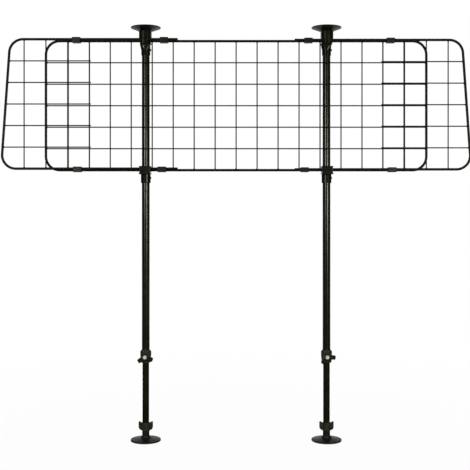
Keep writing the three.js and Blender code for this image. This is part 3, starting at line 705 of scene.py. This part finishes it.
def soft_box(name, inner, outer, low, high, power):
    """A soft box beside the camera, between two distances from the middle and two heights."""
    lamp = bpy.data.lights.new(name, "AREA")
    lamp.shape = "RECTANGLE"
    lamp.size = abs(outer - inner)
    lamp.size_y = high - low
    lamp.energy = power
    lamp.color = tone("#fffcee")[:3]
    box = bpy.data.objects.new(name, lamp)
    box.location = ((inner + outer) / 2, -LAMPS_BACK, (low + high) / 2)
    box.rotation_euler = (QUARTER_TURN, 0, 0)
    scene.collection.objects.link(box)


def studio_sheets(name, finish, points):
    """Four-cornered sheets that belong to the studio, and the empty tree of their finish."""
    sheets = shown(bpy.data.meshes.new(name))
    sheets.data.from_pydata(points, [], [list(range(k, k + 4)) for k in range(0, len(points), 4)])
    material = bpy.data.materials.new(finish)
    material.use_nodes = True
    material.node_tree.nodes.clear()
    sheets.data.materials.append(material)
    return sheets, material.node_tree


def dark_cloth(wide, near, far, high, carpet, skylight):
    """Dark cloth on floor, roof and three walls, which only shows in glosses: black enamel would mirror a
    white room and turn grey. The floor's cloth ends behind the guard, where the background is white. The
    roof has an opening that gives pads and feet a soft shine."""
    corners = four(-wide, wide, near, carpet, CLOTH_FOOT)
    corners += four(-wide, wide, near, skylight[0], high) + four(-wide, wide, skylight[1], far, high)
    corners += [(x, near, z) for x, z in four(-wide, wide, CLOTH_FOOT, high)]
    corners += [(x, y, z) for x in (-wide, wide) for y, z in four(near, far, CLOTH_FOOT, high)]
    cloth, tree = studio_sheets("dark_cloth", "black_felt", corners)
    for rays in ("camera", "diffuse", "transmission", "volume_scatter", "shadow"):
        setattr(cloth, "visible_" + rays, False)
    matt = new(tree, "ShaderNodeBsdfDiffuse", {"Color": tone("#0c0c0c")})
    add(tree, "ShaderNodeOutputMaterial", {"Surface": matt})


def seen_as_white(tree):
    """1 for what the camera, a gloss or a clear piece sees, and 0 for what lights the guard."""
    path = add(tree, "ShaderNodeLightPath").outputs
    both = calc(tree, "MAXIMUM", path["Is Camera Ray"], path["Is Glossy Ray"])
    return calc(tree, "MAXIMUM", both, path["Is Transmission Ray"])


def make_background():
    """A pale room that lights the guard, and a white one that is seen behind it."""
    world = bpy.data.worlds.new("pale_studio")
    world.use_nodes = True
    scene.world = world
    tree = world.node_tree
    tree.nodes.clear()
    room = new(tree, "ShaderNodeBackground", {"Color": tone("#f4f4f2"), "Strength": 0.4})
    white = new(tree, "ShaderNodeBackground", {"Color": tone("#ffffff"), "Strength": 1.0})
    both = new(tree, "ShaderNodeMixShader", {0: seen_as_white(tree), 1: room, 2: white})
    add(tree, "ShaderNodeOutputWorld", {"Surface": both})


def make_floor():
    """Pale paper that takes a faint shade near the feet and is clear farther off."""
    corners = four(-FLOOR_HALF, FLOOR_HALF, -FLOOR_HALF, FLOOR_HALF, FLOOR_HEIGHT)
    tree = studio_sheets("floor", "pale_paper_sweep", corners)[1]
    matt = new(tree, "ShaderNodeBsdfDiffuse", {"Color": tone("#efefec")})
    clear = new(tree, "ShaderNodeBsdfTransparent")
    place = add(tree, "ShaderNodeTexCoord").outputs["Object"]
    distance = add(tree, "ShaderNodeVectorMath", {0: place}, operation="LENGTH").outputs["Value"]
    share = calc(tree, "MULTIPLY", spread(tree, distance, *FADE, FLOOR_CLEAR), seen_as_white(tree))
    both = new(tree, "ShaderNodeMixShader", {0: share, 1: matt, 2: clear})
    add(tree, "ShaderNodeOutputMaterial", {"Surface": both})


def make_studio():
    """Two soft boxes, the dark cloth, the background and the floor."""
    soft_box("left_soft_box", inner=-1.0, outer=-1.6, low=0.68, high=1.14, power=18)
    soft_box("right_soft_box", inner=1.05, outer=1.65, low=0.46, high=0.88, power=19)
    dark_cloth(wide=3.5, near=-3.6, far=6.0, high=2.9, carpet=1.1, skylight=(-2.1, 0.2))
    make_background()
    make_floor()
    scene.view_settings.view_transform = "Standard"


# Welded panels

def welded_panel(node, corners, closed, plane, bottom, top, sizes):
    """One panel, from the corners of its rod's centre line and the sizes that it has for itself."""
    line = rounded(corners, closed, steps=BEND_STEPS)
    edges = [(i, i + 1) for i in range(len(line) - 1)] + ([(len(line) - 1, 0)] if closed else [])
    rod = bpy.data.meshes.new("rod_line")
    rod.from_pydata([(x, plane, z) for x, z in line], edges, [])
    panel = grown(panel_rule, rod, {
        "Rod diameter": COATED_ROD, "Rod tip share": 1.0 if closed else 1 - 2 * ROD_TIP / COATED_ROD,
        "Wire diameter": WIRE, "Layer": LAYER, "Plane": plane, "Bottom": bottom, "Height": top - bottom,
        "Level gaps": LEVEL_GAPS, "Weld radius": WELD, "Weld at start": closed, "Coating": wire_coating,
        **sizes})
    piece(node, panel, wire_coating)


def centre_panel():
    """A closed frame with a wire at every pitch."""
    corners = four(-HALF_PANEL, HALF_PANEL, BOTTOM_ROD, TOP_ROD, BEND)
    welded_panel("centre_panel", corners, True, CENTRE_PLANE, BOTTOM_ROD, TOP_ROD, {
        "First upright": -UPRIGHTS_EACH_SIDE * PITCH, "Upright pitch": PITCH,
        "Uprights": 2 * UPRIGHTS_EACH_SIDE + 1, "Level start": -HALF_PANEL,
        "Reach bottom": HALF_PANEL, "Reach top": HALF_PANEL})


def side_panel(hand, outward):
    """One bent rod with wires on its outer part. Its two prongs run through the fittings of the post."""
    node = f"{hand}_side_panel"
    low, high = box_mm(node)
    bottom, top = low.z + ROD / 2, high.z - ROD / 2
    tip, shaft = outward * PRONG_END, outward * (PRONG_END + ROD_TIP)
    reach_bottom, reach_top = outward * REACH_BOTTOM, outward * REACH_TOP
    corners = [(tip, bottom), (shaft, bottom), (reach_bottom, bottom, BEND), (reach_top, top, BEND),
               (shaft, top), (tip, top)]
    welded_panel(node, corners, False, SIDE_PLANE, bottom, top, {
        "First upright": outward * INNER_WIRE, "Upright pitch": outward * SIDE_PITCH,
        "Uprights": SIDE_UPRIGHTS, "Level start": outward * (INNER_WIRE - WIRE),
        "Reach bottom": reach_bottom, "Reach top": reach_top})


def rod_clip(node, rise, upside_down):
    """Two C-shaped seats side by side for a pair of rods, open towards the mesh."""
    low, high = box_mm(node)
    edge = CLIP_SEAT + CLIP_WALL
    top, bottom = max(rise, 0) + edge, min(rise, 0) - edge
    back, front = edge, -ROD_SPACING - edge
    line = rounded(four(front, back, bottom, top, CLIP_CORNER))
    body = pressed(line, "x", -CLIP_LENGTH / 2, CLIP_LENGTH / 2, edge=0.8)
    for y, z in ((0, 0), (-ROD_SPACING, rise)):
        seat = placed(pin(2 * CLIP_SEAT, -CLIP_LENGTH, CLIP_LENGTH), spin(90, "Y"), shift(0, y, z))
        middle = y - LAYER
        mouth = slab(-CLIP_LENGTH, CLIP_LENGTH, middle - CLIP_MOUTH, middle + CLIP_MOUTH, bottom - PAST, z)
        body = cut(body, seat, mouth)
    if upside_down:
        placed(body, spin(180, "X"), shift(0, -ROD_SPACING, 0))
    placed(body, shift((low.x + high.x) / 2, CENTRE_PLANE, BOTTOM_ROD if upside_down else TOP_ROD))
    # The clip's nylon is lighter than the fittings': the difference is painted highlight on its rounded
    # seats.
    piece(node, body, half_painted_sheen_nylon)


# Fittings on the posts

def d_block(half, front, low, high, corner, edge):
    """Round behind the post's axis and square in front of it, seen from above."""
    line = rounded([(-half, front, corner), (half, front, corner)] + arc(half, 0, HALF_TURN, 28))
    return pressed(line, "z", low, high, edge)


def square_block(half, front, low, high, corner, edge):
    """Square in front of the post's axis and ending just behind it, seen from above."""
    back = 3.0
    line = rounded([(-half, front, corner), (half, front, corner), (half, back, 1), (-half, back, 1)])
    return pressed(line, "z", low, high, edge)


def rod_channel(rod_height, rise, mouth, half):
    """The room for both rods across a fitting, open as far as the height of the mouth."""
    opens_up = mouth > rod_height
    side = -1 if opens_up else 1
    inner = (max if opens_up else min)(rod_height, rod_height + rise) - side * SKIN
    line = [(CHANNEL_FRONT, mouth)]
    line += arc(ROD_SLOT, side * HALF_TURN, 0, 12, SIDE_PLANE, rod_height + rise)
    line += [(SIDE_PLANE + ROD_SLOT, inner), (CENTRE_PLANE - ROD_SLOT, inner)]
    line += arc(ROD_SLOT, side * HALF_TURN, 0, 12, CENTRE_PLANE, rod_height)
    line.append((CHANNEL_BACK, mouth))
    return pressed(line, "x", -half - PAST, half + PAST)


def screw_seat(height, seat):
    """A screw's hole along +X with a flat seat for its head."""
    hole, flat = SCREW / 2 + GAP, SCREW_HEAD + GAP
    room = turned([(hole, 0), (hole, seat), (flat, seat), (flat, OUTSIDE)], sides=32)
    return placed(room, spin(90, "Y"), lift(height))


def top_pad():
    """A mushroom of rubber with a pocket for the head's spigot."""
    low, high = box_mm("right_top_pad")
    foot, top = low.z, high.z
    neck, rim = 13.8, 36.5
    under = foot + 9.2  # lower edge of the rim
    pocket, roof = SPIGOT / 2 + GAP, HEAD_TOP + SPIGOT_RISE + GAP
    return turned([(pocket, roof), (pocket, foot, 0.4), (neck, foot, 0.9), (neck + 2.6, foot + 1.9, 5),
                   (rim - 3.2, under - 0.6, 5), (rim, under + 0.3, 1.2), (rim, top, 1.5)], sides=96,
                  steps=5)


def top_head(rise):
    """A socket for the tube that widens to a hook over the rods, with a rib, a collar and a spigot."""
    foot, shoulder = head_low.z, HEAD_HALF - 0.6
    taper, overlap = SKIRT - 14, SKIRT + 2
    rib_low, rib_high = TOP_ROD + 1.2, TOP_ROD + 3.8
    collar_foot = TOP_ROD + 6
    slit_top, slit_depth = SKIRT - 5.5, 1.0
    socket = turned([(HEAD_NECK, foot, 0.4), (HEAD_NECK, taper, 8), (shoulder, SKIRT, 0.5),
                     (shoulder, overlap)], sides=64, steps=6)
    block = d_block(HEAD_HALF - RIB_RISE, FITTING_FRONT + RIB_RISE, SKIRT, HEAD_BLOCK_TOP, corner=11,
                    edge=0.3)
    rib = d_block(HEAD_HALF, FITTING_FRONT, rib_low, rib_high, corner=13, edge=0.9)
    collar = d_block(HEAD_HALF, FITTING_FRONT, collar_foot, HEAD_TOP, corner=13, edge=0.9)
    spigot = turned([(SPIGOT / 2, TOP_ROD), (SPIGOT / 2, HEAD_TOP + SPIGOT_RISE, 0.8)], sides=48)
    body = combined(block, socket, rib, collar, spigot)
    past, under = HEAD_HALF + PAST, foot - PAST
    return cut(body,
               rod_channel(TOP_ROD, rise, SKIRT - PAST, HEAD_HALF),
               slab(-past, past, FITTING_FRONT - PAST, CHANNEL_BACK, under, SKIRT),
               slab(HEAD_NECK, past, -past, past, under, SKIRT),
               slab(SLIT - SLIT_HALF, SLIT + SLIT_HALF, -past, slit_depth - HEAD_NECK, under, slit_top),
               bore(TUBE, under, tube_high.z + GAP, sides=64),
               screw_seat(HEAD_SCREW, HEAD_SEAT))


def lower_bracket(outward, rise):
    """A split clamp round the tube, with a channel for the bottom rods and an ear behind for its bolt."""
    foot, top = bracket_low.z, bracket_high.z
    waist = BRACKET_HALF - 0.7
    sleeve = turned([(SLEEVE, foot, 1.4), (SLEEVE, top, 0.6)], sides=64)
    core = square_block(BRACKET_HALF - 1, FITTING_FRONT + RIB_RISE, BRACKET_BLOCK, top, corner=2, edge=0.3)
    bands = [square_block(half, FITTING_FRONT, BOTTOM_ROD + low, BOTTOM_ROD + high, corner=2.5, edge=0.8)
             for half, low, high in ((BRACKET_HALF, -10, -6), (waist, -0.4, 3.4),
                                     (BRACKET_HALF, 7.0, top - BOTTOM_ROD))]
    ear = pressed([(0, BOLT_HEIGHT + EAR_RADIUS), (0, BOLT_HEIGHT - EAR_RADIUS)] +
                  arc(EAR_RADIUS, -QUARTER_TURN, QUARTER_TURN, 20, BOLT_BACK, BOLT_HEIGHT),
                  "x", -EAR_WIDTH / 2, EAR_WIDTH / 2, edge=0.8)
    body = combined(sleeve, core, *bands, ear)
    split = 1.0  # half the width of the split behind the tube
    groove, groove_half, groove_depth = outward * 1.9, 0.9, 1.8
    under, over = foot - PAST, top + PAST
    return cut(body,
               rod_channel(BOTTOM_ROD, rise, over, BRACKET_HALF),
               bore(TUBE, under, over, sides=64),
               slab(-split, split, 0, BOLT_BACK + 2 * EAR_RADIUS, under, over),
               slab(groove - groove_half, groove + groove_half, -SLEEVE - PAST, groove_depth - SLEEVE,
                    under, BRACKET_BLOCK),
               placed(bore(BOLT, -EAR_WIDTH, EAR_WIDTH), spin(90, "Y"), AT_BOLT),
               screw_seat(BRACKET_SCREW, BRACKET_SEAT))


def cross_screw(seat, height):
    """Pan-head screw with a cross recess, pointing into the tube from +X."""
    length = seat + GAP - (TUBE / 2 - TUBE_WALL)
    rim, crown, crown_half = 1.1, 2.0, 1.7
    arm, arm_half, recess_floor = 1.6, 0.28, 0.9
    screw = turned([(SCREW / 2, -length, 0.3), (SCREW / 2, 0), (SCREW_HEAD, 0), (SCREW_HEAD, rim, 0.5),
                    (crown_half, crown, 1.4)], sides=32)
    recess = [slab(-u, u, -v, v, recess_floor, PAST) for u, v in ((arm, arm_half), (arm_half, arm))]
    return placed(cut(screw, *recess), spin(90, "Y"), shift(seat + GAP, 0, height))


def bracket_bolt(outward):
    """Hexagon-head bolt through the bracket's ears, with a rolled thread past them."""
    head_flats, head_depth, plain, past_nut, overlap = 7.8, 3.5, 9.0, 1.5, 0.3
    end = EAR_WIDTH + 2 * GAP + WING_HUB + past_nut
    bolt = gathered(hexagon(head_flats, -head_depth, 0, 0.5),
                    pin(BOLT, -0.2, plain, sides=28),
                    threaded_bar(BOLT, plain - overlap, end, 0.8, plated_steel))
    return placed(bolt, lift(-EAR_WIDTH / 2 - GAP), spin(90 * outward, "Y"), AT_BOLT)


def two_wings(right, thick, edge):
    """Both wings of a wing nut, from the outline of the right one, lower edge first."""
    outline = rounded(right + [(-u, v, *radius) for u, v, *radius in reversed(right)], steps=4)
    return pressed(outline, "y", -thick / 2, thick / 2, edge)


def bracket_wing_nut(outward):
    """A small wing nut with a tapered hub."""
    hub, half, rise = 4.8, 10.25, 8.2
    wings = two_wings([(hub * 0.5, 0), (hub * 1.25, 0.7, 2), (half - 1.2, 2.9, 3), (half, 5.2, 2),
                       (half, rise, 1.1), (half - 3.2, rise, 1.2), (hub * 0.95, WING_HUB, 2),
                       (hub * 0.4, WING_HUB)], thick=2.6, edge=0.7)
    body = turned([(hub, 0, 0.3), (hub * 0.82, WING_HUB, 0.6)], sides=40)
    nut = cut(combined(body, wings), bore(BOLT, -PAST, rise + PAST, sides=32))
    return placed(nut, lift(EAR_WIDTH / 2 + GAP), spin(90 * outward, "Y"), AT_BOLT)


def plain_tube(width, wall, low, high):
    """A tube about Z with the burr taken off its ends."""
    outer, inner = width / 2, width / 2 - wall
    return turned([(inner, low, 0.2), (outer, low, 0.3), (outer, high, 0.3), (inner, high, 0.2)], sides=72,
                  steps=2, loop=True)


def upper_tube():
    """The wider tube, with holes for its two screws and for the clamp's stud."""
    holes = [placed(bore(SCREW, 0, TUBE, sides=24), spin(90, "Y"), lift(height))
             for height in (HEAD_SCREW, BRACKET_SCREW)]
    holes.append(placed(bore(CLAMP_STUD, 0, TUBE, sides=32), spin(90, "X"), lift(CLAMP_HEIGHT)))
    return cut(plain_tube(TUBE, TUBE_WALL, tube_low.z, tube_high.z), *holes)


def lower_tube():
    """The narrower tube that slides in the upper one."""
    return plain_tube(LEG, LEG_WALL, leg_low.z, leg_high.z)


def facing_front(shape, turn=0.0):
    """From the clamp's own frame, with its axis along Z, to its place on the post."""
    return placed(shape, spin(turn, "Z"), spin(90, "X"), lift(CLAMP_HEIGHT))


def joint_collar():
    """A collar round the foot of the upper tube, with a pear-shaped boss for the clamp in front."""
    foot, top = collar_low.z, CLAMP_HEIGHT + 14.7
    foot_half, half, mouth = 12.0, 13.5, TUBE / 2 + GAP + 0.8
    shell = turned([(foot_half, foot, 0.6), (half, top - 8.5, 8), (half, top - 3.5, 0.9),
                    (mouth, top, 0.4)], sides=64, steps=5)
    # Seen from the front, the boss is a circle drawn up to a rounded peak
    peak, radius = 20.2, 9.0
    lean = math.acos(radius / peak)
    pear = arc(radius, QUARTER_TURN + lean, 5 * QUARTER_TURN - lean, 40, 0, CLAMP_HEIGHT)
    tip = rounded([pear[-1], (0, CLAMP_HEIGHT + peak, 1.5), pear[0]], closed=False)
    boss = pressed(pear + tip[1:-1], "y", -BOSS_REACH, 0, edge=0.9)
    # Seen from the side, it slopes back to the tube above the clamp
    front, below = -BOSS_REACH - SKIN, CLAMP_HEIGHT - 12
    shoulder, above = CLAMP_HEIGHT + 5, CLAMP_HEIGHT + peak
    side = rounded([(2, below), (2, above + 1), (-TUBE / 2 - 2 * GAP, above + 0.2), (front, shoulder, 3),
                    (front, below)], steps=6)
    boss = combined(boss, pressed(side, "x", -half, half), operation="INTERSECT")
    pocket = TUBE / 2 + 3 * GAP + CLAMP_NUT_DEPTH
    return cut(combined(shell, boss),
               bore(TUBE, tube_low.z - GAP, above + PAST, sides=64),
               bore(LEG, foot - PAST, tube_low.z, sides=64),
               facing_front(hexagon(CLAMP_NUT + 2 * GAP, 0, pocket)),
               facing_front(bore(CLAMP_STUD, 0, BOSS_REACH + PAST)))


def clamp_nut():
    """The nut in the boss, against the tube, that the stud runs in."""
    foot = TUBE / 2 + 2 * GAP
    nut = hexagon(CLAMP_NUT, foot, foot + CLAMP_NUT_DEPTH, 0.5)
    return facing_front(cut(nut, bore(CLAMP_STUD, 0, OUTSIDE)))


def clamp_handle(turn):
    """A hub with two wings to grip, a pocket for the bright nut and a bore for the stud."""
    radius, top = 8.5, HANDLE_FOOT + HANDLE_DEPTH
    hub = turned([(radius, HANDLE_FOOT, 0.5), (radius, top, 1.1)], sides=64)
    low, high = HANDLE_FOOT + 1.2, HANDLE_FOOT + 6.2
    reach, root_half, tip_half, splay = 20.0, 5.8, 5.0, 63
    wing = rounded([(0, -root_half), (reach, -tip_half, 2.2), (reach, tip_half, 2.2), (0, root_half)])
    wings = [placed(pressed(wing, "z", low, high, edge=1.1), spin(side * splay, "Z")) for side in (-1, 1)]
    handle = cut(combined(hub, *wings),
                 hexagon(CORE_FLATS + 2 * GAP, CORE_FOOT - GAP, top + PAST),
                 bore(CLAMP_STUD, HANDLE_FOOT - PAST, CORE_TOP))
    return facing_front(handle, turn)


def handle_core(turn):
    """The bright nut that fixes the handle on its stud."""
    core = hexagon(CORE_FLATS, CORE_FOOT, CORE_TOP, 0.9)
    return facing_front(cut(core, bore(CLAMP_STUD, CORE_FOOT - PAST, OUTSIDE)), turn)


def clamp_stud():
    """The stud that the handle turns, from the lower tube to just past the bright nut."""
    return facing_front(threaded_bar(CLAMP_STUD, LEG / 2 + GAP, CORE_TOP + 1, 1.0, zinc_plate))


def end_plug():
    """A flanged bush in the foot of the lower tube, open for the stud."""
    low, high = box_mm("right_end_plug")
    foot, top, flange = low.z, high.z, low.z + 1.5
    seat = LEG / 2 - LEG_WALL - GAP
    inside = seat - 2.2
    return turned([(inside, foot, 0.3), (LEG / 2, foot, 0.5), (LEG / 2, flange, 0.2), (seat, flange),
                   (seat, top, 0.4), (inside, top, 0.2)], sides=48, steps=3, loop=True)


def jack_wing_nut():
    """A wing nut with tall horns and a pocket below for the jack nut."""
    foot, top, horn = jack_low.z, jack_low.z + 20, jack_high.z
    half, hub = 17.4, 9.3
    body = turned([(hub, foot, 0.8), (hub, top, 0.8)], sides=64)
    wings = two_wings([(hub * 0.5, foot), (hub * 1.02, foot, 2), (half - 1, foot + 4.2, 5),
                       (half, foot + 9, 5), (half, horn, 1.4), (half - 3, horn, 2), (hub + 1.5, top, 1),
                       (hub * 0.5, top)], thick=5.0, edge=1.0)
    return cut(combined(body, wings),
               bore(FOOT_STUD, foot - PAST, horn + PAST, sides=48),
               hexagon(JACK_NUT + 2 * GAP, foot - PAST, foot + JACK_NUT_DEPTH + 2 * GAP))


def jack_nut():
    """The nut in the jack wing nut, that runs on the foot's stud."""
    foot = jack_low.z + GAP
    top = foot + JACK_NUT_DEPTH
    return cut(hexagon(JACK_NUT, foot, top, 0.7), bore(FOOT_STUD, foot - PAST, top + PAST))


def foot_stud():
    """The jacking screw: a flat head held in the rubber and a coarse rolled thread."""
    low, high = box_mm("right_foot_stud")
    foot, top = low.z, low.z + STUD_HEAD_DEPTH
    head = turned([(STUD_HEAD, foot, 0.4), (STUD_HEAD, top, 0.4)], sides=40)
    thread = threaded_bar(FOOT_STUD, top - 0.1, high.z, 3.0, plated_steel, chamfer=1.0, sides=28)
    return gathered(head, thread)


def foot_pad():
    """A round rubber foot that rises to a neck and holds the stud's head."""
    radius, rim = 36.7, 3.8
    neck, top = 8.7, jack_low.z - GAP
    shank, head = FOOT_STUD / 2 + GAP, STUD_HEAD + GAP
    floor = 4.0  # under the stud's head
    roof = floor + STUD_HEAD_DEPTH + GAP
    return turned([(radius, 0, 0.9), (radius, rim, 1.3), (neck + 4.6, 7.5, 8), (neck, 12.1, 5),
                   (neck, top, 0.8), (shank, top, 0.3), (shank, roof), (head, roof), (head, floor - GAP)],
                  sides=96, steps=6)


def make_post(hand, outward, rise):
    """All 19 pieces of one post."""
    turn = HANDLE_TURN[hand]
    # The joint collar and the jack wing nut take a nylon whose greyer colour is painted sheen, and the
    # clamp handle takes one whose in-between tone is painted sheen.
    for name, shape, material in (
        ("top_pad", top_pad(), moulded_rubber),
        ("top_head", top_head(rise), moulded_nylon),
        ("head_screw", cross_screw(HEAD_SEAT, HEAD_SCREW), plated_steel),
        ("upper_tube", upper_tube(), tube_enamel),
        ("lower_bracket", lower_bracket(outward, rise), moulded_nylon),
        ("bracket_screw", cross_screw(BRACKET_SEAT, BRACKET_SCREW), plated_steel),
        ("bracket_bolt", bracket_bolt(outward), plated_steel),
        ("bracket_wing_nut", bracket_wing_nut(outward), moulded_nylon),
        ("joint_collar", joint_collar(), painted_sheen_nylon),
        ("clamp_nut", clamp_nut(), plated_steel),
        ("clamp_stud", clamp_stud(), zinc_plate),
        ("clamp_handle", clamp_handle(turn), half_painted_sheen_nylon),
        ("handle_core", handle_core(turn), zinc_plate),
        ("lower_tube", lower_tube(), tube_enamel),
        ("end_plug", end_plug(), moulded_nylon),
        ("jack_wing_nut", jack_wing_nut(), painted_sheen_nylon),
        ("jack_nut", jack_nut(), plated_steel),
        ("foot_stud", foot_stud(), plated_steel),
        ("foot_pad", foot_pad(), moulded_rubber),
    ):
        piece(f"{hand}_{name}", shape, material, outward * POST_X)


make_camera()
make_studio()
centre_panel()
for hand, outward in (("left", -1), ("right", 1)):
    side_panel(hand, outward)
    # The side panel's rods lie this much higher than the centre panel's
    rise = box_mm(f"{hand}_side_panel")[0].z - panel_low.z
    for level, step in (("top", rise), ("bottom", -rise)):
        for spot in ("inner", "outer"):
            rod_clip(f"{hand}_{level}_{spot}_clip", step, upside_down=level == "bottom")
    make_post(hand, outward, rise)

bpy.context.view_layer.update()
